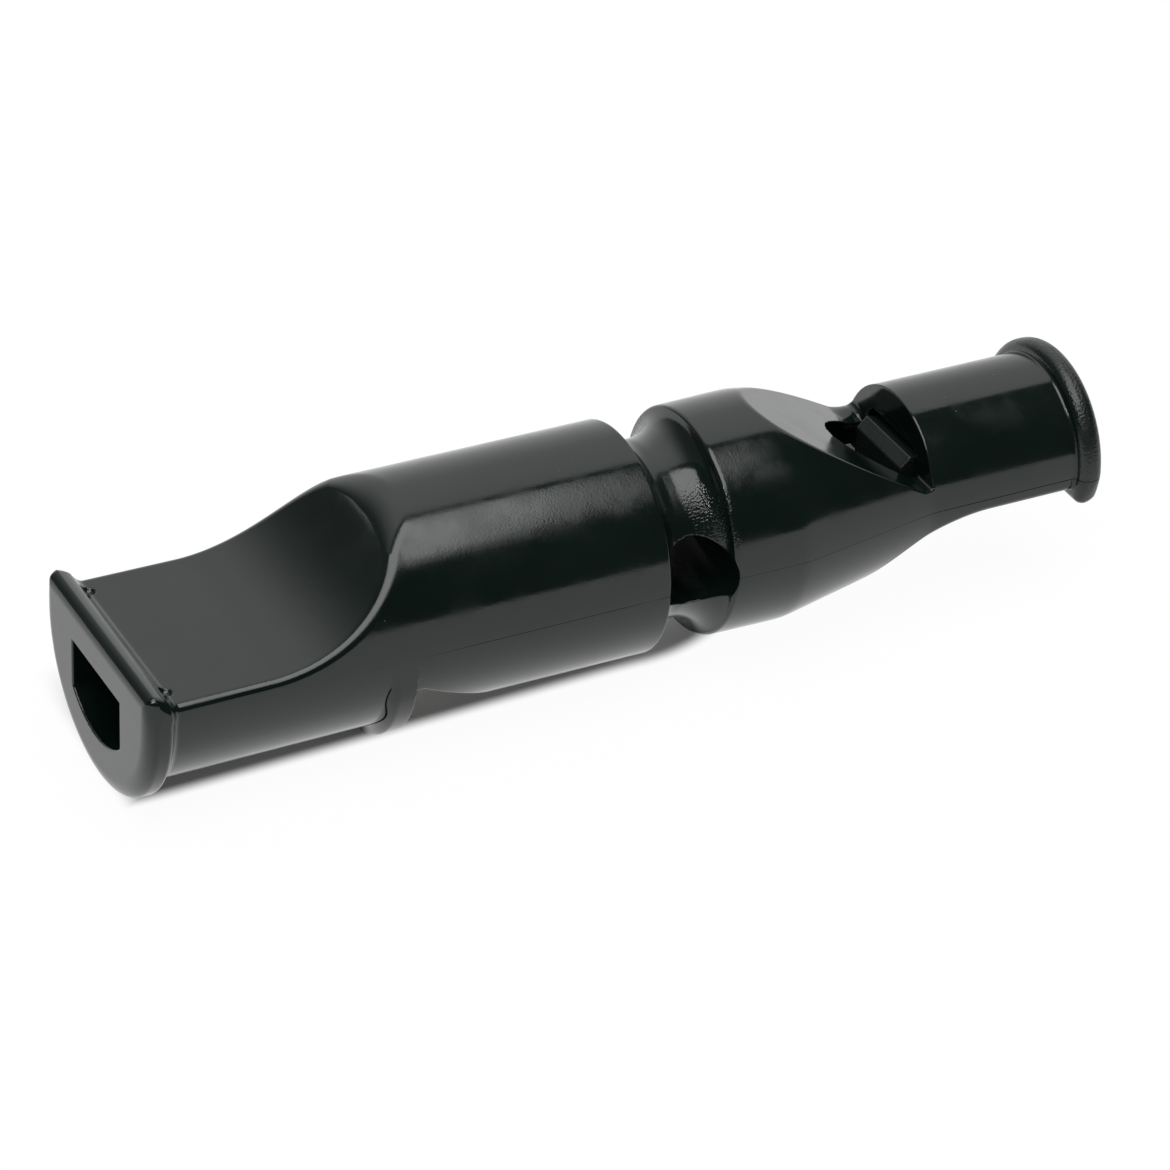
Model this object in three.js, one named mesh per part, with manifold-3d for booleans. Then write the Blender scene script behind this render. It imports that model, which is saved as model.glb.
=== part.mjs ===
// Double-ended dog whistle in moulded plastic, in millimetres, with +Z up and +X from the large mouth to the small one.
// Two moulded halves meet at the middle plane. Each end is a D-shaped mouthpiece with a windway block inside it, and a
// cork pea runs loose in the large chamber. The origin lies below the middle of the whistle, on the table.

import * as THREE from 'three';
import { mergeVertices } from 'three/addons/utils/BufferGeometryUtils.js';
import Module from 'manifold-3d';

const wasm = await Module();
wasm.setup();

// Body, along the axis from the large mouth.
const barrelRadius = 10.5;
const barrelEnd = 48.7;
const barrelEdge = 0.5;
const waistWidth = 6.6;
const neckRadius = 8.1;
const neckWidth = 3.4;
const plainBarrelLength = 7.1;
const taperLength = 14.2;
const tubeLength = 17.3;
const chamberEndWall = 2.6;

// The hole for a cord, across the waist. It cuts a little into the edge of the small end's barrel.
const cordHoleRadius = 3.45;
const cordHoleBite = 0.45;

// What both mouthpieces share.
const rimThickness = 2.4;
const lipEdge = 0.8;
const lipFillet = 0.4;
const scoopRadius = 14.2;
const scoopShoulder = 2.5;
const scoopWall = 1.7;
const rampSlope = Math.tan(THREE.MathUtils.degToRad(30));
const shelfLength = 0.9;
const blockClearance = 0.3;
const noseReach = 1.35;
const noseChamfer = 0.8;

// The large end, whose flat side is up and whose window is underneath. Heights are from the axis to the flat side, and
// depths from the axis to the window side. A rim's front is rounded by rimEdge across and rimRound along the axis.
const trill = {
  windowSide: -1,
  tubeRadius: 10.7,
  rimRadius: 11.5,
  rimDrop: 0.6,
  rimEdge: 0.4,
  rimRound: 1.2,
  rimBack: 0.4,
  flatHeight: 1.25,
  lipHeight: 2.1,
  scoopStart: 11.5,
  step: 25,
  shelfDepth: 3.8,
  mouthHalfWidth: 5.1,
  mouthDepth: 1.05,
  mouthRadius: 7.6,
  noseDepth: 5.3,
  bore: 7.9,
};

// The small end, the same design turned over: flat side down, window on top.
const plain = {
  windowSide: 1,
  tubeRadius: 7.86,
  rimRadius: 8.95,
  rimDrop: 0,
  rimEdge: 1.1,
  rimRound: 1.1,
  rimBack: 1.1,
  flatHeight: 1.5,
  lipHeight: 2.8,
  scoopStart: 10.9,
  step: tubeLength,
  shelfDepth: 2.3,
  mouthHalfWidth: 4.2,
  mouthDepth: 0.9,
  mouthRadius: 5.7,
  noseDepth: 3.7,
  bore: 5.35,
};

// The raised band under the large mouthpiece, beside its window. It is as deep as the rim, and both are a little flat
// underneath, so the whistle lies still on a table this far below its axis.
const bandWidth = 2.6;
const bandDrop = trill.rimRadius + trill.rimDrop - trill.tubeRadius;
const restHeight = 12;

// The pea, a loose ball that lies on the floor of the large chamber.
const peaRadius = 4.75;
const peaClearance = 0.3;

// Places that follow from the sizes above.
const waistEnd = barrelEnd + waistWidth;
const taperStart = waistEnd + plainBarrelLength;
const plainStep = taperStart + taperLength;
const length = plainStep + tubeLength;
const cordHolePlace = waistEnd + cordHoleBite - cordHoleRadius;
trill.chamberEnd = barrelEnd - chamberEndWall;
plain.chamberEnd = length - waistEnd - chamberEndWall;
const peaPlace = (trill.step + noseReach + trill.chamberEnd) / 2;

// Round forms have facets with flats at top and bottom and corners on the joint plane.
const facets = 66;
const holeFacets = 32;
const peaFacets = [28, 18];
const arcSteps = 2;
const scoopSteps = 9;
const outside = 40;

const shellBlack = new THREE.MeshStandardMaterial({ color: 0x1b1e1d, roughness: 0.35, metalness: 0 });
const blockBlack = new THREE.MeshStandardMaterial({ color: 0x202322, roughness: 0.4, metalness: 0 });
const corkBrown = new THREE.MeshStandardMaterial({ color: 0xb58a58, roughness: 0.9, metalness: 0 });

// A closed geometry as a solid that can be cut and joined.
function toSolid(geometry) {
  geometry.deleteAttribute('normal');
  geometry.deleteAttribute('uv');
  const merged = mergeVertices(geometry);
  const index = merged.index.array;
  const corners = [];
  for (let i = 0; i < index.length; i += 3) {
    const [a, b, c] = index.slice(i, i + 3);
    if (a !== b && b !== c && c !== a) {
      corners.push(a, b, c);
    }
  }
  const vertProperties = new Float32Array(merged.attributes.position.array);
  const triVerts = new Uint32Array(corners);
  return new wasm.Manifold(new wasm.Mesh({ numProp: 3, vertProperties, triVerts }));
}

function toMesh(solid, name, material) {
  const { vertProperties, triVerts } = solid.getMesh();
  const geometry = new THREE.BufferGeometry();
  geometry.setAttribute('position', new THREE.BufferAttribute(new Float32Array(vertProperties), 3));
  geometry.setIndex(new THREE.BufferAttribute(new Uint32Array(triVerts), 1));
  geometry.computeVertexNormals();
  const mesh = new THREE.Mesh(geometry, material);
  mesh.name = name;
  return mesh;
}

// A profile of radius against place along the axis, turned about the X axis.
function turned(path) {
  const geometry = new THREE.LatheGeometry(path.getPoints(arcSteps), facets, Math.PI / facets);
  return geometry.rotateZ(-Math.PI / 2);
}

// A plain round bar along the X axis.
function roundBar(radius, from, to) {
  const path = new THREE.Path();
  path.moveTo(0, from);
  path.lineTo(radius, from);
  path.lineTo(radius, to);
  path.lineTo(0, to);
  return turned(path);
}

// An outline in X and Z, as wide as given along Y and centred on the middle plane.
function slab(shape, width) {
  const geometry = new THREE.ExtrudeGeometry(shape, {
    depth: width,
    bevelEnabled: false,
    curveSegments: scoopSteps,
  });
  return geometry.rotateX(Math.PI / 2).translate(0, width / 2, 0);
}

function outline(points) {
  return new THREE.Shape(points.map(([x, z]) => new THREE.Vector2(x, z)));
}

function block(x1, x2, width, z1, z2) {
  return slab(outline([[x1, z1], [x2, z1], [x2, z2], [x1, z2]]), width);
}

// Everything on one side of the joint plane: 1 is above it and -1 below it.
function halfSpace(side) {
  const [low, high] = side > 0 ? [0, outside] : [-outside, 0];
  return toSolid(block(-outside, length + outside, 2 * outside, low, high));
}

// The two ends are drawn alike, from their own mouth. The small end is turned over and set at the far end.
function placed(geometry, end) {
  return end === plain ? geometry.rotateY(Math.PI).translate(length, 0, 0) : geometry;
}

// Mouthpiece, barrel, waist, barrel, taper and tube as one turned form, before the mouthpieces are cut to shape.
function turnedBody() {
  const path = new THREE.Path();
  path.moveTo(0, rimThickness / 2);
  path.lineTo(trill.tubeRadius, rimThickness / 2);
  path.lineTo(barrelRadius, trill.step);
  path.lineTo(barrelRadius, barrelEnd - barrelEdge);
  path.absarc(barrelRadius - barrelEdge, barrelEnd - barrelEdge, barrelEdge, 0, Math.PI / 2, false);
  path.lineTo(neckRadius, barrelEnd);
  path.lineTo(neckRadius, barrelEnd + neckWidth);
  path.absellipse(barrelRadius, barrelEnd + neckWidth, barrelRadius - neckRadius, waistWidth - neckWidth,
    Math.PI, Math.PI / 2, true);
  path.lineTo(barrelRadius, taperStart);
  path.lineTo(plain.tubeRadius, plainStep);
  path.lineTo(plain.tubeRadius, length - rimThickness / 2);
  path.lineTo(0, length - rimThickness / 2);
  return toSolid(turned(path));
}

// The rounded rim at a mouth. On the large end it sits a little towards the window side.
function rim(end) {
  const path = new THREE.Path();
  path.moveTo(0, 0);
  path.lineTo(end.rimRadius - end.rimEdge, 0);
  path.absellipse(end.rimRadius - end.rimEdge, end.rimRound, end.rimEdge, end.rimRound, -Math.PI / 2, 0, false);
  path.absarc(end.rimRadius - end.rimBack, rimThickness - end.rimBack, end.rimBack, 0, Math.PI / 2, false);
  path.lineTo(0, rimThickness);
  return toSolid(placed(turned(path).translate(0, 0, -end.rimDrop), end));
}

function windowBand() {
  const band = roundBar(trill.tubeRadius, trill.step - bandWidth, trill.step).translate(0, 0, -bandDrop);
  return toSolid(band).intersect(halfSpace(-1));
}

// What is cut off the flat side: the flat behind the rim's lip, and the hollow curve that climbs to the barrel's round.
function scoop(end) {
  const centreHeight = end.flatHeight + scoopRadius;
  const shoulderHeight = barrelRadius - scoopShoulder;
  const reach = scoopRadius + scoopShoulder;
  const rise = centreHeight - shoulderHeight;
  const shoulderPlace = end.scoopStart + Math.sqrt(reach * reach - rise * rise);
  const meeting = Math.atan2(-rise, shoulderPlace - end.scoopStart);
  const lip = end.lipHeight - lipEdge;
  const shape = new THREE.Shape();
  shape.moveTo(-outside, lip);
  shape.lineTo(0, lip);
  shape.absarc(lipEdge, lip, lipEdge, Math.PI, Math.PI / 2, true);
  shape.absarc(rimThickness - lipFillet, end.lipHeight - lipFillet, lipFillet, Math.PI / 2, 0, true);
  shape.absarc(rimThickness + lipFillet, end.flatHeight + lipFillet, lipFillet, Math.PI, 1.5 * Math.PI, false);
  shape.absarc(end.scoopStart, centreHeight, scoopRadius, -Math.PI / 2, meeting, false);
  shape.absarc(shoulderPlace, shoulderHeight, scoopShoulder, meeting + Math.PI, Math.PI / 2, true);
  shape.lineTo(shoulderPlace, outside);
  shape.lineTo(-outside, outside);
  return toSolid(placed(slab(shape, 2 * outside), end));
}

// The notch on the window side: a square step, a narrow shelf, and a ramp that rises from it to the barrel.
function windowNotch(end) {
  const shelfEnd = end.step + shelfLength;
  const shape = outline([
    [end.step, -end.shelfDepth],
    [end.step, -outside],
    [shelfEnd + (outside - end.shelfDepth) / rampSlope, -outside],
    [shelfEnd, -end.shelfDepth],
  ]);
  return toSolid(placed(slab(shape, 2 * outside), end));
}

// The chamber is a round bore. On the window side it starts at the step, on the flat side behind the scoop's wall.
function chamber(end, side) {
  const rise = end.bore - end.flatHeight;
  const scoopAtBore = end.scoopStart + Math.sqrt(2 * scoopRadius * rise - rise * rise);
  const start = side === end.windowSide ? end.step : scoopAtBore + scoopWall;
  return toSolid(placed(roundBar(end.bore, start, end.chamberEnd), end));
}

// The mouth hole through the rim, and behind it the pocket for the windway block.
function windway(end) {
  const width = 2 * end.mouthHalfWidth;
  const bar = toSolid(placed(roundBar(end.mouthRadius, -outside, end.step + rimThickness), end));
  const hole = toSolid(placed(block(-outside, rimThickness, width, -outside, -end.mouthDepth), end));
  const pocket = toSolid(placed(block(rimThickness, end.step + outside, width, -outside, outside), end));
  return bar.intersect(hole.add(pocket));
}

// The wedge that narrows the windway from the mouth to a slit, with a chamfered nose past the step.
function windwayBlock(end) {
  const back = rimThickness + blockClearance;
  const nose = end.step + noseReach;
  const shape = outline([
    [back, 0],
    [back, -end.mouthDepth],
    [nose - noseChamfer, -end.noseDepth],
    [nose, -end.noseDepth + noseChamfer],
    [nose, 0],
  ]);
  const wedge = toSolid(placed(slab(shape, 2 * (end.mouthHalfWidth - blockClearance)), end));
  return wedge.intersect(toSolid(placed(roundBar(end.mouthRadius - blockClearance, 0, nose + outside), end)));
}

function cordHole() {
  const geometry = new THREE.CylinderGeometry(cordHoleRadius, cordHoleRadius, 2 * outside, holeFacets);
  return toSolid(geometry.translate(cordHolePlace, 0, 0));
}

function pea() {
  const geometry = new THREE.SphereGeometry(peaRadius, ...peaFacets);
  return toSolid(geometry.translate(peaPlace, 0, peaRadius + peaClearance - trill.bore));
}

// What lies below the table's top.
function underTable() {
  return toSolid(block(-outside, length + outside, 2 * outside, -outside, -restHeight));
}

// The outside of both halves together.
function outerForm() {
  return turnedBody()
    .add(rim(trill))
    .add(rim(plain))
    .subtract(scoop(trill))
    .subtract(scoop(plain))
    .add(windowBand())
    .subtract(windowNotch(trill))
    .subtract(windowNotch(plain))
    .subtract(cordHole())
    .subtract(underTable());
}

// One moulded half, hollowed for the chambers and, where the window is on its side, for the windway.
function shell(side) {
  let half = outerForm().intersect(halfSpace(side));
  for (const end of [trill, plain]) {
    half = half.subtract(chamber(end, side));
    if (side === end.windowSide) {
      half = half.subtract(windway(end));
    }
  }
  return half;
}

const whistle = new THREE.Group();
whistle.add(
  toMesh(shell(1), 'upper_shell', shellBlack),
  toMesh(shell(-1), 'lower_shell', shellBlack),
  toMesh(windwayBlock(trill), 'trill_windway_block', blockBlack),
  toMesh(windwayBlock(plain), 'plain_windway_block', blockBlack),
  toMesh(pea(), 'pea', corkBrown),
);
whistle.position.set(-length / 2, 0, restHeight);

export default whistle;
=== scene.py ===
"""Looks of a double-ended dog whistle moulded in black plastic.

Every piece is a field of distances in millimetres, negative inside the material, and is meshed on a fine
grid. The points of the mesh are then moved onto the exact surface, so that edges and fillets keep their
true rounding.
"""
import math
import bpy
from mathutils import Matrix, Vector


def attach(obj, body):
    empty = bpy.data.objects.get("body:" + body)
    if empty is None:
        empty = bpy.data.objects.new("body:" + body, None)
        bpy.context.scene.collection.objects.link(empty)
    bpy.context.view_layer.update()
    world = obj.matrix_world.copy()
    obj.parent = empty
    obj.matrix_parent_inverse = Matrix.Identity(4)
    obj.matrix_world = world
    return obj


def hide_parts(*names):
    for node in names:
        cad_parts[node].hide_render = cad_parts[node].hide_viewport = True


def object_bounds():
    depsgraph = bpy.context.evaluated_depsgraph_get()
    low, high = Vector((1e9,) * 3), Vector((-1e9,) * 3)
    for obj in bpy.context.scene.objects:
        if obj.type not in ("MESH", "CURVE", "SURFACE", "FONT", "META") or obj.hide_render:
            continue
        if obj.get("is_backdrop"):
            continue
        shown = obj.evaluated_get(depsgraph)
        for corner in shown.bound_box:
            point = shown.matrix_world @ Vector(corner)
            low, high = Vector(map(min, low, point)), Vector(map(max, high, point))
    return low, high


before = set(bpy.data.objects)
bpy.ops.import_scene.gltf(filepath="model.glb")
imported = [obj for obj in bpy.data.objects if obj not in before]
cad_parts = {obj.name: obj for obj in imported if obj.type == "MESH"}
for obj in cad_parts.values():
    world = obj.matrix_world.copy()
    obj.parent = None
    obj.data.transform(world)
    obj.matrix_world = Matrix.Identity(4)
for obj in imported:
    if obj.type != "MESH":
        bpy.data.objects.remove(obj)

from types import SimpleNamespace

import bpy
import numpy as np
import openvdb
from mathutils import Matrix, Vector

cad_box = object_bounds()
MM = 0.001

# Body, in millimetres along the axis from the large mouth.
length = (cad_box[1].x - cad_box[0].x) / MM
rest_height = 12.0
barrel_radius = 10.5
barrel_end = 49.0
barrel_swell = 0.12
neck_radius = 8.1
cove_width = 3.2
waist_end = 55.3
taper_start = 62.4
taper_end = 76.6
chamber_end_wall = 2.6

# The hole for a cord, across the waist, which reaches a little way into the small end's barrel.
cord_hole_radius = 3.4
cord_hole_reach = 0.45
cord_hole_place = waist_end + cord_hole_reach - cord_hole_radius

# What both mouthpieces share.
rim_thickness = 2.4
scoop_radius = 14.2
scoop_wall = 1.7
ramp_angle = math.radians(30)
shelf_length = 0.9
block_clearance = 0.3
nose_reach = 1.35
nose_chamfer = 1.0
slit_height = 0.7

# Rounding of edges and fillets. The front of a rim or lip is rounded by its edge across and its round along
# the axis. The lip's values take over from the rim's between two depths below its top, and the scoop's edge
# grows from one radius to the other between two heights.
barrel_edge = 0.2
cove_edge = 0.25
neck_fillet = barrel_radius - neck_radius
lip_corner = 0.8
lip_edge = 1.3
lip_round = 1.8
lip_back = 1.0
lip_foot = 2.9
lip_blend = (3.0, 0.6)
taper_bend = 0.6
scoop_edge = (0.8, 2.3)
scoop_edge_grows = (8.2, 10.4)
notch_edge = 0.16
notch_fillet = 0.25
hole_edge = 0.14
mouth_edge = 0.15
chamber_edge = 0.2
block_edge = 0.1
skin_inset = 0.02

# The large end has its flat side up and its window underneath. The small end is the same design turned
# over. Lengths run from the end's own mouth, and heights from the axis towards its flat side.
trill = SimpleNamespace(
    window_side=-1, flat_height=1.25, scoop_start=11.5, step=25.0, shelf_depth=3.8,
    tube_radius=10.7, bore=7.9, chamber_end=46.1,
    rim_radius=11.5, rim_drop=0.6, rim_edge=1.8, rim_round=1.1, rim_back=0.6, rim_fillet=0.8,
    lip_height=2.85, lip_crest=1.2,
    mouth_half_width=5.1, mouth_depth=1.05, mouth_radius=7.6, nose_depth=5.3,
)
plain = SimpleNamespace(
    window_side=1, flat_height=1.5, scoop_start=10.9, step=length - taper_end, shelf_depth=2.3,
    tube_radius=7.86, bore=5.35, chamber_end=length - waist_end - chamber_end_wall,
    rim_radius=8.95, rim_drop=0.0, rim_edge=1.1, rim_round=1.1, rim_back=1.0, rim_fillet=0.25,
    lip_height=2.8, lip_crest=rim_thickness,
    mouth_half_width=4.2, mouth_depth=0.9, mouth_radius=5.7, nose_depth=3.7,
)

# The large mouthpiece lies a little low, and lowest at the band by its window.
tube_drop = 0.3
drop_depth = 4.5
band_start = 22.2
band_rise = 1.3
band_drop = trill.rim_radius + trill.rim_drop - barrel_radius

# The thin crack that the mould left along the band at the front, painted as a line of shade where the
# surface loses its gloss, between two heights over the axis. It bends to and fro as a sine, whose angle
# grows by crack_turn radians a millimetre.
crack_place = 22.5
crack_width = 0.13
crack_core = crack_width / 3
crack_ends = (-9.5, -2.2)
crack_fade = 0.5
crack_bend = 0.2
crack_turn = 1.3
crack_phase = 3.4
crack_front = -1.0

# Two small sink marks behind the large lip, and a lump that the mould left beside the small window. Places
# are along the whistle, across it and above its axis.
pit_radius = 0.6
pit_place = (2.9, 8.25, 1.5)
pit_edge = 0.12
lump_place = (75.9, 6.4, 1.9)
lump_size = (1.9, 1.6, 1.15)
lump_fillet = 0.6

# Half the width of the joint line between the halves, at places along the whistle.
joint_places = (0, 25, 31, 45, 47, 48.5, 56, 74, 80, length)
joint_gaps = (0.002, 0.003, 0.022, 0.022, 0.006, 0.024, 0.012, 0.016, 0.034, 0.034)

# The cork pea. The pits' middles stand off its surface by a share of their radius.
pea_radius = 4.75
pea_clearance = 0.3
pea_seed = 7
pea_pits = 90
pea_pit_radii = (0.12, 0.45)
pea_pit_lift = 0.4
pea_pit_edge = 0.06

# The grids of the shells and of the small pieces, and how points are moved onto the surface.
shell_grid = 0.15
small_grid = 0.12
margin = 0.6
near_cells = 4
edge_cells = 0.7
slope_reach = 0.01
surface_steps = 2
least_slope_squared = 0.05
tiny = 1e-9

# Black plastic of the shells and of the windway blocks: two tones, and how dull the surface is.
shell_look = SimpleNamespace(deep=(0.002, 0.006, 0.0045, 1), pale=(0.0035, 0.008, 0.0065, 1), rough=0.1)
block_look = SimpleNamespace(deep=(0.006, 0.010, 0.009, 1), pale=(0.010, 0.014, 0.013, 1), rough=0.22)
plastic_shine = 0.5
plastic_ior = 1.5

# Flow marks, smudges and dust, with sizes in millimetres. Each pair says at which value of a pattern an
# effect starts to show, and at which it shows fully.
flow = SimpleNamespace(size=9.0, detail=3.0, roughness=0.5)
flow_values = (0.35, 0.65)
smudge = SimpleNamespace(size=3.5, detail=4.0, roughness=0.6)
film_values = (0.4, 0.68)
film_rough = 0.09
dust_spacing = 1.9
dust_edge = (0.045, 0.02)
dust_values = (0.5, 0.62)
dust_colour = (0.16, 0.17, 0.17, 1)
dust_cover = 0.6
dust_rough = 0.3

# Relief of the plastic, with sizes and depths in millimetres.
grain = SimpleNamespace(size=0.16, detail=1.0, roughness=0.5, depth=0.012, strength=0.3)
mottle = SimpleNamespace(size=1.1, detail=2.0, roughness=0.5, depth=0.0015, strength=1.0)
sand = SimpleNamespace(size=0.2, detail=1.0, roughness=0.4, depth=0.07)
wave = SimpleNamespace(size=6.0, detail=1.0, roughness=0.5, depth=0.025, strength=0.3)

# Where the plastic is worn. On the waist, along the whistle and above its axis, sand starts to show, shows
# fully, starts to fade and is gone. On the small rim it starts to show and then shows fully.
sand_start = waist_end - 3.35
sand_end = waist_end + 1.05
sand_fade = 1.0
sand_along = (sand_start, sand_start + sand_fade, sand_end - sand_fade, sand_end)
sand_above = (2.5, 3.7, 6.2, 7.8)
rim_worn_start = length - 2.75
rim_worn_along = (rim_worn_start, rim_worn_start + sand_fade)
rim_sand = 0.7
rim_rough = 0.2

# Cork, with sizes and depths in millimetres.
cork_tone = SimpleNamespace(size=1.6, detail=5.0, roughness=0.65, depth=0.1, strength=0.6)
cork_dark = (0.3, 0.17, 0.08, 1)
cork_light = (0.62, 0.42, 0.24, 1)
cork_rough_values = (0.3, 0.7)
cork_rough = (0.75, 0.95)
crumb_size = 0.8
crumb_edge = (0.35, 0.6)
crumb_joint_colour = (0.12, 0.06, 0.03, 1)
crumb_joint_cover = 0.6

# The camera that took the picture, in millimetres and degrees.
camera_place = (-175.115, -317.877, 243.541)
camera_azimuth = 28.7463
camera_elevation = 33.0539
camera_roll = 2.9333
camera_lens = 151.831
camera_sensor = 36
camera_clip = 10

# The backdrop, by the direction in which it lies: brighter overhead, dimmer at the left, and only behind.
white = (1, 1, 1, 1)
backdrop_heights = (0.5, 0.9)
backdrop_strengths = (0.95, 1.3)
backdrop_sides = (-0.62, 0.05)
backdrop_side_shares = (0.15, 1.0)
backdrop_edge = (0.19, 0.24)
room_glow = 0.05

# The large lamp overhead and the small one, in metres and degrees.
softbox_height = 1.2
softbox_width = 1.4
softbox_depth = 1.0
softbox_soft_edge = 0.3
softbox_right = 0.536
softbox_back = 0.12
softbox_turn = 3.5
softbox_layers = 4
softbox_layer_gap = 0.002
softbox_radiance = 4.0
spot_way = (-0.57, -0.41, 0.63)
spot_size = 0.05
spot_radiance = 110.0

# The table, in metres. Its shadow is kept round a line behind the large end, and the rest is plain white.
table_size = 4.0
table_colour = (0.9, 0.9, 0.9, 1)
plain_white_reach = (0.12, 0.5)
shadow_line_along = (-0.043, 0.0)
shadow_line_aside = (0.0114, 0.013)
shadow_middle = -0.02
shadow_half_length = 0.024
shadow_edge = (0.0148, 0.0168)
shadow_left = (-0.0435, -0.0468)
shadow_cover = 0.96
shadow_lift = 0.04
shadow_lift_reach = 0.017


def cut(a, b, rounding=0.0):
    """What lies in both solids, with the edge between them rounded."""
    outside = np.hypot(np.maximum(rounding + a, 0), np.maximum(rounding + b, 0))
    return np.minimum(-rounding, np.maximum(a, b)) + outside


def join(a, b, fillet=0.0):
    """What lies in either solid, with the corner between them filled."""
    inside = np.hypot(np.maximum(fillet - a, 0), np.maximum(fillet - b, 0))
    return np.maximum(fillet, np.minimum(a, b)) - inside


def smooth_step(share):
    """A share that starts and ends gently, kept between zero and one."""
    share = np.clip(share, 0, 1)
    return share * share * (3 - 2 * share)


def seen_from(end, x, z):
    """Distance from an end's own mouth, and height towards its flat side."""
    return (x if end is trill else length - x), -end.window_side * z


def taper_radius(x):
    """Radius of the small end outside its waist, with a soft bend where the taper starts and ends."""
    fall = (barrel_radius - plain.tube_radius) / (taper_end - taper_start)
    swell = barrel_swell / (taper_start - waist_end)
    begun = (np.hypot(x - taper_start, taper_bend) + x - taper_start) / 2
    ended = (np.hypot(x - taper_end, taper_bend) + x - taper_end) / 2
    before = begun - x + taper_start
    return barrel_radius - fall * (begun - ended) - swell * before


def large_tube(x, y, z):
    """The large mouthpiece and barrel, with the underside of the mouthpiece lowered."""
    rise = smooth_step((x - band_start) / band_rise)
    drop = tube_drop + (band_drop - tube_drop) * rise
    below = np.where(x < trill.step, drop, 0) * smooth_step(-z / drop_depth)
    return np.hypot(y, z + below) - np.interp(x, [0, trill.step], [trill.tube_radius, barrel_radius])


def turned_body(x, y, z):
    """Mouthpiece, barrel, waist, barrel, taper and tube, before the mouthpieces are cut to shape."""
    rho = np.hypot(y, z)
    large = cut(large_tube(x, y, z), x - barrel_end, barrel_edge)
    large = np.maximum(large, rim_thickness / 2 - x)
    cove_depth = barrel_radius - neck_radius
    cove = join((waist_end - x) * cove_depth / cove_width, rho - neck_radius, cove_depth)
    small = cut(cove, rho - taper_radius(x), cove_edge)
    small = np.maximum(small, barrel_end - barrel_radius / 2 - x)
    small = np.maximum(small, x - length + rim_thickness / 2)
    return join(large, small, neck_fillet)


def rim(end, s, y, h):
    """The rim at a mouth, cut off straight at the lip.

    The lip is rounded more deeply in front than the rest, and slopes down behind its crest.
    """
    section = np.hypot(y, h + end.rim_drop) - end.rim_radius
    section = cut(section, h - end.lip_height, lip_corner)
    heights = [end.lip_height - place for place in lip_blend]
    edge = np.interp(h, heights, [end.rim_edge, lip_edge])
    depth = np.interp(h, heights, [end.rim_round, lip_round])
    front = cut(section * (depth / edge), -s, depth)
    run = lip_foot - end.lip_crest
    fall = end.lip_height - end.flat_height
    behind = ((h - end.lip_height) * run + (s - end.lip_crest) * fall) / math.hypot(run, fall)
    thickness = np.interp(h, heights, [rim_thickness, lip_foot])
    back = cut(cut(section, s - thickness, end.rim_back), behind, lip_back)
    return np.maximum(front, back)


def flat_side(end, s, h):
    """Below the flat behind the lip, and below the hollow curve that climbs to the barrel."""
    curve = scoop_radius - np.hypot(s - end.scoop_start, h - end.flat_height - scoop_radius)
    return np.where(s < end.scoop_start, h - end.flat_height, curve)


def window_notch(end, s, h):
    """Outside the notch: before its square step, or below its shelf and ramp."""
    ramp = -h - end.shelf_depth - math.tan(ramp_angle) * np.maximum(s - end.step - shelf_length, 0)
    return join(s - end.step, ramp * math.cos(ramp_angle), notch_fillet)


def mould_lump(x, y, z):
    """The flattened ball beside the small window."""
    lump = [(p - c) / size for p, c, size in zip((x, y, z), lump_place, lump_size)]
    return (np.sqrt(lump[0] ** 2 + lump[1] ** 2 + lump[2] ** 2) - 1) * min(lump_size)


def sink_marks(x, y, z):
    """Outside the two balls that leave the marks behind the large lip."""
    pit_x, pit_y, pit_z = pit_place
    return pit_radius - np.sqrt((x - pit_x) ** 2 + (np.abs(y) - pit_y) ** 2 + (z - pit_z) ** 2)


def outer_form(x, y, z):
    """The outside of the whistle with its mouthpieces, windows, cord hole and mould marks."""
    form = turned_body(x, y, z)
    for end in (trill, plain):
        s, h = seen_from(end, x, z)
        form = cut(form, flat_side(end, s, h), np.interp(h, scoop_edge_grows, scoop_edge))
        form = join(form, rim(end, s, y, h), end.rim_fillet)
    for end in (trill, plain):
        s, h = seen_from(end, x, z)
        form = cut(form, window_notch(end, s, h), notch_edge)
    form = join(form, mould_lump(x, y, z), lump_fillet)
    form = cut(form, cord_hole_radius - np.hypot(x - cord_hole_place, z), hole_edge)
    form = cut(form, sink_marks(x, y, z), pit_edge)
    return np.maximum(form, -z - rest_height)


def chamber(end, s, rho, side):
    """The round bore, from the step on the window side and from the scoop's wall on the flat side."""
    rise = end.bore - end.flat_height
    scoop_at_bore = end.scoop_start + math.sqrt(2 * scoop_radius * rise - rise * rise)
    start = end.step if side == end.window_side else scoop_at_bore + scoop_wall
    return np.maximum(rho - end.bore, np.maximum(start - s, s - end.chamber_end))


def windway(end, s, y, h, rho):
    """The mouth hole through the rim, and behind it the block's pocket, which narrows to a slit."""
    bar = cut(rho - end.mouth_radius, np.abs(y) - end.mouth_half_width, mouth_edge)
    hole = np.maximum(bar, np.maximum(h + end.mouth_depth, s - rim_thickness))
    pocket = np.maximum(bar, np.maximum(rim_thickness - s, s - end.step - rim_thickness))
    roof = np.interp(s, [rim_thickness, end.step], [end.mouth_radius, end.nose_depth + slit_height])
    return np.minimum(hole, np.maximum(pocket, -h - roof))


def shell_skin(side):
    """The walls of the upper half, 1, or the lower half, -1, carried on past the joint plane."""
    def field(x, y, z):
        rho = np.hypot(y, z)
        wall = outer_form(x, y, z)
        for end in (trill, plain):
            s, h = seen_from(end, x, z)
            wall = cut(wall, -chamber(end, s, rho, side), chamber_edge)
            if side == end.window_side:
                wall = cut(wall, -windway(end, s, y, h, rho), mouth_edge)
        return wall + skin_inset
    return field


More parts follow.
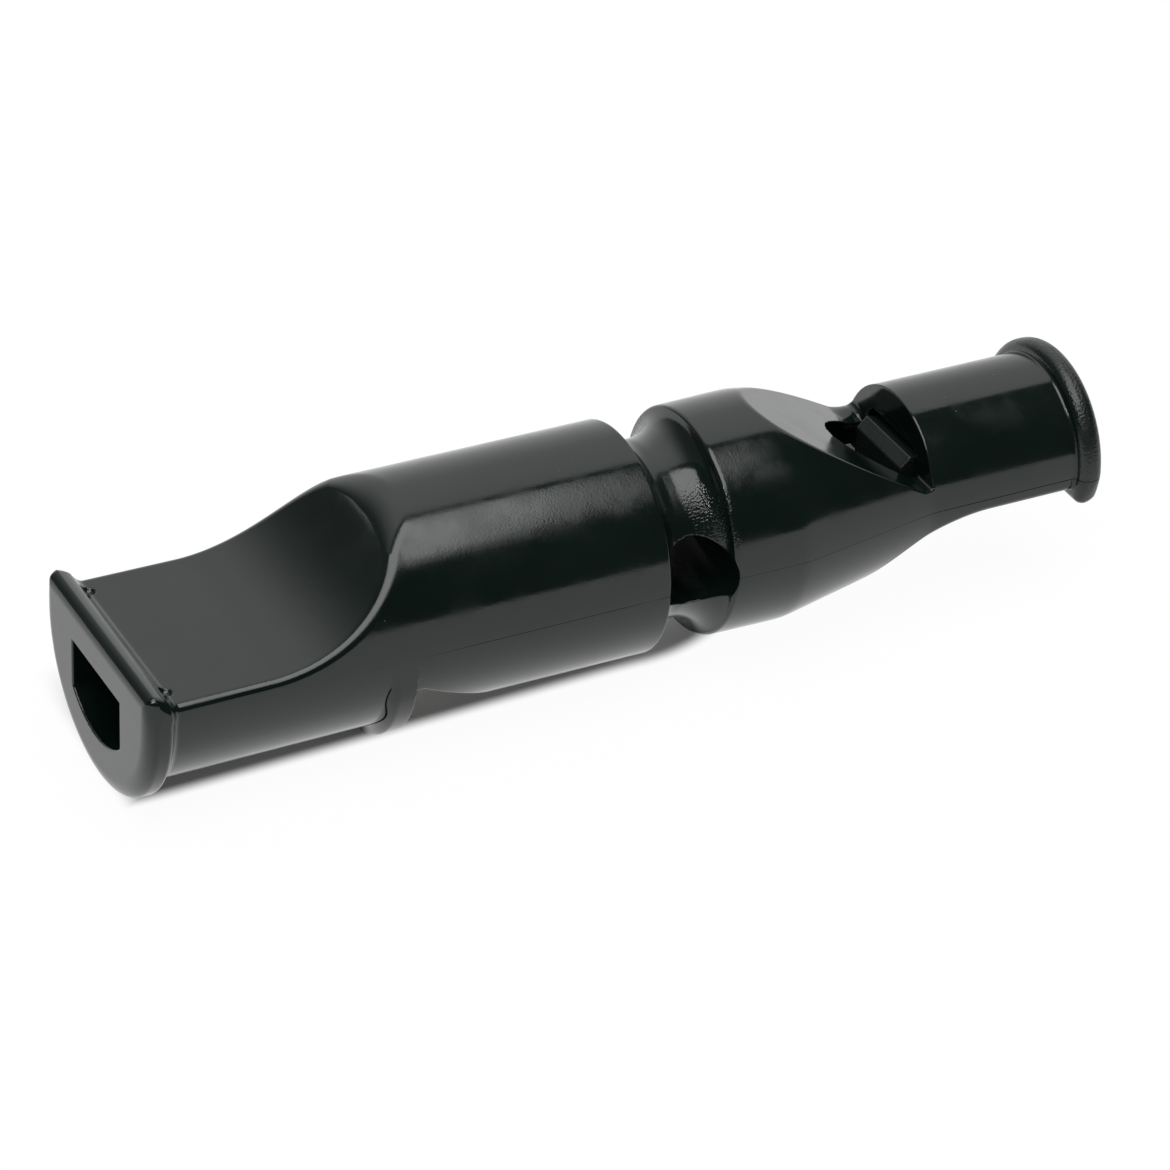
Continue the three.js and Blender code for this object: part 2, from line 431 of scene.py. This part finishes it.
def block_field(end):
    """The wedge that narrows the windway to a slit, with a chamfered nose past the step."""
    back = rim_thickness + block_clearance
    nose = end.step + nose_reach
    run = nose - nose_chamfer - back
    fall = end.nose_depth - end.mouth_depth

    def field(x, y, z):
        s, h = seen_from(end, x, z)
        roof = (-h - end.mouth_depth - (s - back) * fall / run) * run / math.hypot(run, fall)
        chamfer = (s - nose - h - end.nose_depth + nose_chamfer) * math.sqrt(0.5)
        wedge = cut(roof, chamfer, block_edge)
        wedge = cut(wedge, np.maximum(s - nose, back - s), block_edge)
        wedge = cut(wedge, h, block_edge)
        wedge = cut(wedge, np.abs(y) - end.mouth_half_width + block_clearance, block_edge)
        return cut(wedge, np.hypot(y, z) - end.mouth_radius + block_clearance, block_edge) + skin_inset
    return field


def pea_field(centre):
    """A cork ball with small pits."""
    random = np.random.default_rng(pea_seed)
    ways = random.normal(size=(pea_pits, 3))
    ways /= np.linalg.norm(ways, axis=1)[:, None]
    sizes = random.uniform(*pea_pit_radii, pea_pits)

    def field(x, y, z):
        place = (x - centre[0], y - centre[1], z - centre[2])
        ball = np.sqrt(place[0] ** 2 + place[1] ** 2 + place[2] ** 2) - pea_radius
        for way, size in zip(ways, sizes):
            hollow = [p - c * (pea_radius + size * pea_pit_lift) for p, c in zip(place, way)]
            pit = size - np.sqrt(hollow[0] ** 2 + hollow[1] ** 2 + hollow[2] ** 2)
            ball = cut(ball, pit, pea_pit_edge)
        return ball + skin_inset
    return field


def slope(field, points):
    """The field's gradient at each point."""
    columns = []
    for axis in range(3):
        step = np.zeros(3)
        step[axis] = slope_reach
        ahead = field(*(points + step).T)
        behind = field(*(points - step).T)
        columns.append((ahead - behind) / (2 * slope_reach))
    return np.stack(columns, axis=1)


def onto_surface(field, points, most, flat=False):
    """Moves points to where the field is zero, by at most the given distance a step.

    Flat moves keep to the joint plane.
    """
    for _ in range(surface_steps):
        gradient = slope(field, points)
        if flat:
            gradient[:, 2] = 0
        steps = field(*points.T) / np.maximum(np.sum(gradient ** 2, axis=1), least_slope_squared)
        move = gradient * steps[:, None]
        far = np.linalg.norm(move, axis=1)
        points = points - move * np.minimum(1, most / np.maximum(far, tiny))[:, None]
    return points


def sampled(field, low, high, grid):
    """The field on a grid, exact near the surface only.

    Elsewhere pairs of cells share the value at their middle.
    """
    pairs = [int((b + margin - a) / (2 * grid)) + 1 for a, b in zip(low, high)]
    middles = [a + (2 * np.arange(n) + 0.5) * grid for a, n in zip(low, pairs)]
    values = field(middles[0][:, None, None], middles[1][None, :, None], middles[2][None, None, :])
    for axis in range(3):
        values = values.repeat(2, axis)
    near = np.nonzero(np.abs(values) < near_cells * grid)
    values[near] = field(*[a + index * grid for a, index in zip(low, near)])
    return np.ascontiguousarray(values, dtype=np.float32)


def joint_gap(x):
    """How far each half stays off the joint plane."""
    return np.interp(x, joint_places, joint_gaps)


def meshed(name, skin, low, high, grid, side=0):
    """The surface of a field as a mesh object in the shared frame, with smooth normals from the field.

    With a side, only what lies on that side of the joint plane is kept, and its edge there is made sharp.
    """
    def field(x, y, z):
        return np.maximum(skin(x, y, z), joint_gap(x) - side * z) if side else skin(x, y, z)

    low = np.asarray(low, float) - margin
    if side:
        # The joint plane runs halfway between two layers of the grid.
        low[2] = grid * (math.floor(low[2] / grid) + 0.5)
    volume = openvdb.FloatGrid(margin)
    volume.copyFromArray(sampled(field, low, high, grid))
    points, faces = volume.convertToQuads(0.0)
    points = low + points.astype(float) * grid
    on_joint = np.abs(points[:, 2]) < (grid / 2 if side else 0)
    points[~on_joint] = onto_surface(field, points[~on_joint], grid / 2)
    points[on_joint, 2] = side * joint_gap(points[on_joint, 0])
    edge = on_joint & (np.abs(skin(*points.T)) < edge_cells * grid)
    points[edge] = onto_surface(skin, points[edge], grid / 2, flat=True)
    normals = slope(skin, points)
    normals /= np.maximum(np.linalg.norm(normals, axis=1), tiny)[:, None]
    return mesh_object(name, points, faces, normals)


def mesh_object(name, points, faces, normals):
    """Puts points in millimetres from the large mouth into the shared frame as a smooth mesh."""
    mesh = bpy.data.meshes.new(name)
    row_points = (points + [-length / 2, 0, rest_height]) * MM
    mesh.from_pydata(row_points.tolist(), [], faces.tolist())
    mesh.shade_smooth()
    mesh.normals_split_custom_set_from_vertices(normals.tolist())
    piece = bpy.data.objects.new(name, mesh)
    bpy.context.collection.objects.link(piece)
    return piece


class Nodes:
    """A node tree with short calls for adding nodes and linking their sockets."""

    # Where the Mix node has its share, its two colours and its result.
    mix_share = 0
    mix_colours = (6, 7)
    mix_result = 2

    def __init__(self, owner):
        owner.use_nodes = True
        self.tree = owner.node_tree

    def add(self, kind, inputs=None, **settings):
        node = self.tree.nodes.new("ShaderNode" + kind)
        for key, value in settings.items():
            setattr(node, key, value)
        for key, value in (inputs or {}).items():
            self.set(node.inputs[key], value)
        return node

    def set(self, socket, value):
        if isinstance(value, bpy.types.NodeSocket):
            self.tree.links.new(value, socket)
        else:
            socket.default_value = value

    def math(self, operation, *values):
        return self.add("Math", dict(enumerate(values)), operation=operation).outputs[0]

    def distance(self, vector):
        return self.add("VectorMath", {0: vector}, operation="LENGTH").outputs["Value"]

    def ramp(self, value, low, high, start=0.0, end=1.0, smooth=True):
        """A value between low and high, mapped to between start and end."""
        inputs = {"Value": value, "From Min": low, "From Max": high, "To Min": start, "To Max": end}
        node = self.add("MapRange", inputs, interpolation_type="SMOOTHSTEP" if smooth else "LINEAR")
        return node.outputs["Result"]

    def between(self, value, start, full, fading, gone):
        """One from full to fading, and zero before start and past gone."""
        return self.math("MULTIPLY", self.ramp(value, start, full), self.ramp(value, gone, fading))

    def noise(self, place, pattern):
        inputs = {"Vector": place, "Scale": 1 / (pattern.size * MM)}
        inputs.update({"Detail": pattern.detail, "Roughness": pattern.roughness})
        return self.add("TexNoise", inputs).outputs["Fac"]

    def cells(self, place, spacing):
        """Distance from the middles of cells that lie the given millimetres apart, in cells."""
        return self.add("TexVoronoi", {"Vector": place, "Scale": 1 / (spacing * MM)}).outputs["Distance"]

    def bump(self, height, strength, depth):
        return self.add("Bump", {"Height": height, "Strength": strength, "Distance": depth * MM})

    def mix(self, share, *colours):
        node = self.add("Mix", data_type="RGBA")
        self.set(node.inputs[self.mix_share], share)
        for socket, colour in zip(self.mix_colours, colours):
            self.set(node.inputs[socket], colour)
        return node.outputs[self.mix_result]


def measured(nodes, place):
    """Millimetres along the whistle from the large mouth, across it, and above its axis."""
    way = nodes.add("SeparateXYZ", {"Vector": place}).outputs
    return SimpleNamespace(
        along=nodes.math("MULTIPLY_ADD", way["X"], 1 / MM, length / 2),
        across=nodes.math("DIVIDE", way["Y"], MM),
        above=nodes.math("MULTIPLY_ADD", way["Z"], 1 / MM, -rest_height),
    )


def crack_shade_line(nodes, here):
    """One on the painted shade of the thin, wavy crack along the band's edge at the front, and zero
    elsewhere.
    """
    turn = nodes.math("MULTIPLY_ADD", here.above, crack_turn, crack_phase)
    bend = nodes.math("MULTIPLY", nodes.math("SINE", turn), crack_bend)
    off_place = nodes.math("SUBTRACT", nodes.math("SUBTRACT", here.along, crack_place), bend)
    line = nodes.ramp(nodes.math("ABSOLUTE", off_place), crack_width, crack_core)
    low, high = crack_ends
    ends = nodes.between(here.above, low, low + crack_fade, high - crack_fade, high)
    front = nodes.ramp(here.across, 0.0, crack_front)
    return nodes.math("MULTIPLY", line, nodes.math("MULTIPLY", ends, front))


def dust_specks(nodes, place, smudges):
    """One on specks of dust, which lie only where the surface is smudged."""
    specks = nodes.ramp(nodes.cells(place, dust_spacing), *dust_edge)
    return nodes.math("MULTIPLY", specks, nodes.ramp(smudges, *dust_values))


def plastic_colour(nodes, place, look, specks):
    """Two dark tones in flow marks, under the dust."""
    colour = nodes.mix(nodes.ramp(nodes.noise(place, flow), *flow_values), look.deep, look.pale)
    return nodes.mix(nodes.math("MULTIPLY", specks, dust_cover), colour, dust_colour)


def plastic_roughness(nodes, look, smudges, specks, small_rim):
    """Duller under smudges and dust, and on the small rim."""
    film = nodes.ramp(smudges, *film_values, look.rough, look.rough + film_rough)
    film = nodes.math("ADD", film, nodes.math("MULTIPLY", small_rim, rim_rough))
    return nodes.math("ADD", film, nodes.math("MULTIPLY", specks, dust_rough))


def worn_places(nodes, here, small_rim):
    """How sandy the surface is: fully on a part of the waist, and less on the small rim."""
    along = nodes.between(here.along, *sand_along)
    waist = nodes.math("MULTIPLY", along, nodes.between(here.above, *sand_above))
    return nodes.math("MAXIMUM", waist, nodes.math("MULTIPLY", small_rim, rim_sand))


def mould_relief(nodes, place, worn):
    """Bumps one over the other, of which sand is as strong as the surface is worn."""
    normal = None
    for relief in (grain, mottle, sand, wave):
        strength = worn if relief is sand else relief.strength
        bump = nodes.bump(nodes.noise(place, relief), strength, relief.depth)
        if normal:
            nodes.set(bump.inputs["Normal"], normal)
        normal = bump.outputs["Normal"]
    return normal


def moulded_plastic(name, look):
    """Black plastic with flow marks, dust, a duller film in places, painted shade on the crack at the band
    and the relief of its mould.
    """
    material = bpy.data.materials.new(name)
    nodes = Nodes(material)
    shader = nodes.tree.nodes["Principled BSDF"]
    place = nodes.add("TexCoord").outputs["Object"]
    here = measured(nodes, place)
    smudges = nodes.noise(place, smudge)
    specks = dust_specks(nodes, place, smudges)
    small_rim = nodes.ramp(here.along, *rim_worn_along)
    # Painted shade: the crack at the band loses its gloss, so that it shows as a dark line.
    outside_crack_shade = nodes.math("SUBTRACT", 1.0, crack_shade_line(nodes, here))
    nodes.set(shader.inputs["Base Color"], plastic_colour(nodes, place, look, specks))
    nodes.set(shader.inputs["Roughness"], plastic_roughness(nodes, look, smudges, specks, small_rim))
    nodes.set(shader.inputs["Specular IOR Level"], nodes.math("MULTIPLY", outside_crack_shade, plastic_shine))
    nodes.set(shader.inputs["Normal"], mould_relief(nodes, place, worn_places(nodes, here, small_rim)))
    shader.inputs["IOR"].default_value = plastic_ior
    return material


def cork(name):
    """Pressed cork: pale brown crumbs with dark joints between them."""
    material = bpy.data.materials.new(name)
    nodes = Nodes(material)
    shader = nodes.tree.nodes["Principled BSDF"]
    place = nodes.add("TexCoord").outputs["Object"]
    tone = nodes.noise(place, cork_tone)
    joints = nodes.ramp(nodes.cells(place, crumb_size), *crumb_edge)
    colour = nodes.mix(tone, cork_dark, cork_light)
    colour = nodes.mix(nodes.math("MULTIPLY", joints, crumb_joint_cover), colour, crumb_joint_colour)
    bump = nodes.bump(tone, cork_tone.strength, cork_tone.depth)
    nodes.set(shader.inputs["Base Color"], colour)
    nodes.set(shader.inputs["Roughness"], nodes.ramp(tone, *cork_rough_values, *cork_rough))
    nodes.set(shader.inputs["Normal"], bump.outputs["Normal"])
    return material


def dress(piece, node, body, material):
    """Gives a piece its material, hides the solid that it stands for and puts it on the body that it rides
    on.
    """
    piece.data.materials.append(material)
    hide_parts(node)
    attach(piece, body)


def add_halves():
    """The two moulded halves of the body."""
    material = moulded_plastic("shell_plastic", shell_look)
    wide = trill.rim_radius
    halves = {"upper": (1, (0, -wide, 0), (length, wide, barrel_radius)),
              "lower": (-1, (0, -wide, -rest_height), (length, wide, 0))}
    for name, (side, low, high) in halves.items():
        piece = meshed(name + "_half", shell_skin(side), low, high, shell_grid, side)
        dress(piece, name + "_shell", "body", material)


def add_blocks():
    """The windway blocks in the two mouthpieces."""
    material = moulded_plastic("block_plastic", block_look)
    for name, end in {"trill": trill, "plain": plain}.items():
        start, stop = sorted([seen_from(end, place, 0)[0] for place in (0, end.step + nose_reach)])
        half = end.mouth_radius
        low = (start, -half, -half)
        high = (stop, half, half)
        piece = meshed(name + "_fipple", block_field(end), low, high, small_grid)
        dress(piece, name + "_windway_block", "body", material)


def add_pea():
    """The loose pea, in the middle of its run between the block's nose and the chamber's end."""
    run_middle = (trill.step + nose_reach + trill.chamber_end) / 2
    centre = np.array([run_middle, 0, pea_radius + pea_clearance - trill.bore])
    piece = meshed("cork_pea", pea_field(centre), centre - pea_radius, centre + pea_radius, small_grid)
    dress(piece, "pea", "rattle", cork("cork"))


def add_camera():
    """The camera, turned about the vertical, tilted down and then rolled."""
    data = bpy.data.cameras.new("camera")
    data.lens = camera_lens
    data.sensor_width = camera_sensor
    data.clip_start = camera_clip * MM
    camera = bpy.data.objects.new("camera", data)
    turn = Matrix.Rotation(-math.radians(camera_azimuth), 4, "Z")
    turn = turn @ Matrix.Rotation(math.radians(90 - camera_elevation), 4, "X")
    turn = turn @ Matrix.Rotation(math.radians(camera_roll), 4, "Z")
    camera.matrix_world = Matrix.Translation(Vector(camera_place) * MM) @ turn
    bpy.context.collection.objects.link(camera)
    bpy.context.scene.camera = camera


def add_room():
    """A white backdrop behind and over the whistle, dimmer at the left and dark on the camera's side."""
    world = bpy.data.worlds.new("room")
    bpy.context.scene.world = world
    nodes = Nodes(world)
    way = nodes.add("SeparateXYZ", {"Vector": nodes.add("TexCoord").outputs["Generated"]}).outputs
    backdrop = nodes.ramp(way["Z"], *backdrop_heights, *backdrop_strengths)
    dimmed = nodes.ramp(way["X"], *backdrop_sides, *backdrop_side_shares)
    backdrop = nodes.math("MULTIPLY", backdrop, dimmed)
    backdrop = nodes.math("MULTIPLY", backdrop, nodes.ramp(way["Y"], *backdrop_edge))
    background = nodes.tree.nodes["Background"]
    background.inputs["Color"].default_value = white
    nodes.set(background.inputs["Strength"], nodes.math("MAXIMUM", backdrop, room_glow))


def add_lamp(name, size, radiance, place, turn):
    """A rectangular lamp of even radiance."""
    data = bpy.data.lights.new(name, "AREA")
    data.shape = "RECTANGLE"
    data.size, data.size_y = size
    data.energy = radiance * math.pi * size[0] * size[1]
    lamp = bpy.data.objects.new(name, data)
    lamp.location = place
    lamp.rotation_euler = turn
    bpy.context.collection.objects.link(lamp)


def add_lamps():
    """A large lamp overhead and a small one high up at the left.

    The large one has layers of different depth, so that its edge towards the camera is soft.
    """
    turn = (0, 0, math.radians(softbox_turn))
    middle = softbox_right - softbox_width / 2
    for layer in range(softbox_layers):
        depth = softbox_depth + softbox_soft_edge * (layer / (softbox_layers - 1) - 0.5)
        place = (middle, softbox_back - depth / 2, softbox_height - layer * softbox_layer_gap)
        add_lamp("softbox", (softbox_width, depth), softbox_radiance / softbox_layers, place, turn)
    way = Vector(spot_way).normalized()
    add_lamp("spot", (spot_size, spot_size), spot_radiance, way, way.to_track_quat("Z", "Y").to_euler())


def shadow_distance(nodes, way):
    """Distance on the table from the line round which the shadow is kept."""
    line = nodes.ramp(way["X"], *shadow_line_along, *shadow_line_aside, smooth=False)
    off_middle = nodes.math("ABSOLUTE", nodes.math("SUBTRACT", way["X"], shadow_middle))
    past_end = nodes.math("MAXIMUM", nodes.math("SUBTRACT", off_middle, shadow_half_length), 0.0)
    aside = nodes.math("SUBTRACT", way["Y"], line)
    return nodes.distance(nodes.add("CombineXYZ", {"X": past_end, "Y": aside}).outputs["Vector"])


def table_white():
    """White that takes a shadow near the large end and turns into plain white further off."""
    material = bpy.data.materials.new("table")
    nodes = Nodes(material)
    nodes.tree.nodes.remove(nodes.tree.nodes["Principled BSDF"])
    place = nodes.add("TexCoord").outputs["Object"]
    way = nodes.add("SeparateXYZ", {"Vector": place}).outputs
    aside = shadow_distance(nodes, way)
    bright = nodes.ramp(nodes.distance(place), *plain_white_reach)
    bright = nodes.math("MAXIMUM", bright, nodes.ramp(aside, *shadow_edge, 0.0, shadow_cover))
    bright = nodes.math("MAXIMUM", bright, nodes.ramp(way["X"], *shadow_left, 0.0, shadow_cover))
    path = nodes.add("LightPath").outputs
    seen = nodes.math("MAXIMUM", path["Is Camera Ray"], path["Is Glossy Ray"])
    seen = nodes.math("MAXIMUM", seen, path["Is Transmission Ray"])
    lift = nodes.math("MULTIPLY", seen, nodes.ramp(aside, 0.0, shadow_lift_reach, 0.0, shadow_lift))
    table = nodes.add("BsdfDiffuse", {"Color": table_colour}).outputs[0]
    glow = nodes.add("Emission", {"Color": white, "Strength": lift}).outputs[0]
    plain_white = nodes.add("Emission", {"Color": white, "Strength": 1.0}).outputs[0]
    near = nodes.add("AddShader", {0: table, 1: glow}).outputs[0]
    surface = nodes.add("MixShader", {0: bright, 1: near, 2: plain_white}).outputs[0]
    nodes.set(nodes.tree.nodes["Material Output"].inputs["Surface"], surface)
    return material


def add_floor():
    """The white table that the whistle lies on."""
    mesh = bpy.data.meshes.new("floor")
    corners = [(x * table_size, y * table_size, 0) for x, y in ((-1, -1), (1, -1), (1, 1), (-1, 1))]
    mesh.from_pydata(corners, [], [(0, 1, 2, 3)])
    mesh.materials.append(table_white())
    floor = bpy.data.objects.new("floor", mesh)
    bpy.context.collection.objects.link(floor)
    floor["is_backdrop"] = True


add_camera()
add_halves()
add_blocks()
add_pea()
add_room()
add_lamps()
add_floor()
bpy.context.scene.view_settings.view_transform = "Standard"

boxes = {"cad": cad_box, "visual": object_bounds()}
{name: [list(corner) for corner in box] for name, box in boxes.items()}
